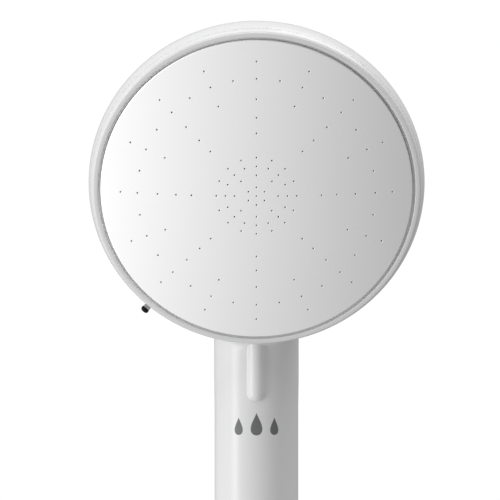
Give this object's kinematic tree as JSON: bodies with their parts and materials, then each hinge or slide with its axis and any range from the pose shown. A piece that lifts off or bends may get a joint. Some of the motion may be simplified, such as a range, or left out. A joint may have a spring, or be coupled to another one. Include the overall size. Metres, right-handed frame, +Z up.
{
  "type": "handheld shower head",
  "caption": "White handheld shower head with a round domed micro-jet face, straight tubular handle with a front rib, side spray-selector lever and threaded hose inlet.",
  "frame": {"origin": "centre of the threaded inlet's end face, on the handle's axis", "axes": "+Z up the handle towards the head, the spray face looks towards -Y and leans 19.4 degrees down, +X to the right seen from the front"},
  "size_m": [0.12, 0.0774, 0.25],
  "materials": {
    "shell_white": "satin gloss moulded ABS",
    "face_white": "smooth satin moulded ABS",
    "lever_grey": "fine matt acetal",
    "cap_black": "satin black elastomer",
    "nipple_white": "moulded ABS with a machined thread",
    "steel": "bright drawn stainless steel",
    "natural_pom": "natural acetal",
    "flow_blue": "coloured acetal",
    "inner_grey": "plain moulded ABS",
    "seal_rubber": "EPDM rubber",
    "cartridge_blue": "plain moulded polypropylene",
    "bead_ceramic": "porous silver-loaded ceramic"
  },
  "bodies": {
    "handset": {"body_shell": "shell_white", "face_plate": "face_white", "inlet_nipple": "nipple_white", "chassis_screws": "steel", "elbow_screws": "steel", "detent_spring": "steel", "inlet_screen": "natural_pom", "flow_regulator": "flow_blue", "spray_body": "inner_grey", "inlet_elbow": "inner_grey", "water_tube": "inner_grey", "divider_seal": "seal_rubber", "face_seal": "seal_rubber", "screw_washers": "seal_rubber", "spigot_o_ring": "seal_rubber", "upper_tube_o_ring": "seal_rubber", "lower_tube_o_ring": "seal_rubber", "cartridge_o_ring": "seal_rubber", "nipple_o_ring": "seal_rubber", "cartridge_cage": "cartridge_blue", "cartridge_base": "cartridge_blue", "cartridge_head": "cartridge_blue", "lower_bead_screen": "natural_pom", "upper_bead_screen": "natural_pom", "silver_beads": "bead_ceramic"},
    "selector": {"selector_rotor": "natural_pom", "rotor_seal": "seal_rubber", "selector_lever": "lever_grey", "lever_cap": "cap_black", "lever_screws": "steel"},
    "plunger": {"detent_plunger": "natural_pom"}
  },
  "joints": [
    {"name": "lever_swing", "type": "hinge", "parent": "handset", "child": "selector", "pos_m": [0, -0.02825, 0.19531], "axis": [0, 0.9432, 0.3322], "range_deg": [0, 60]},
    {"name": "detent_click", "type": "slide", "parent": "handset", "child": "plunger", "axis": [0.8192, -0.1905, 0.541], "range_m": [-0.0008, 0], "stiffness_N_per_m": 400, "springref_m": -0.0023, "deforming": ["detent_spring"]}
  ]
}
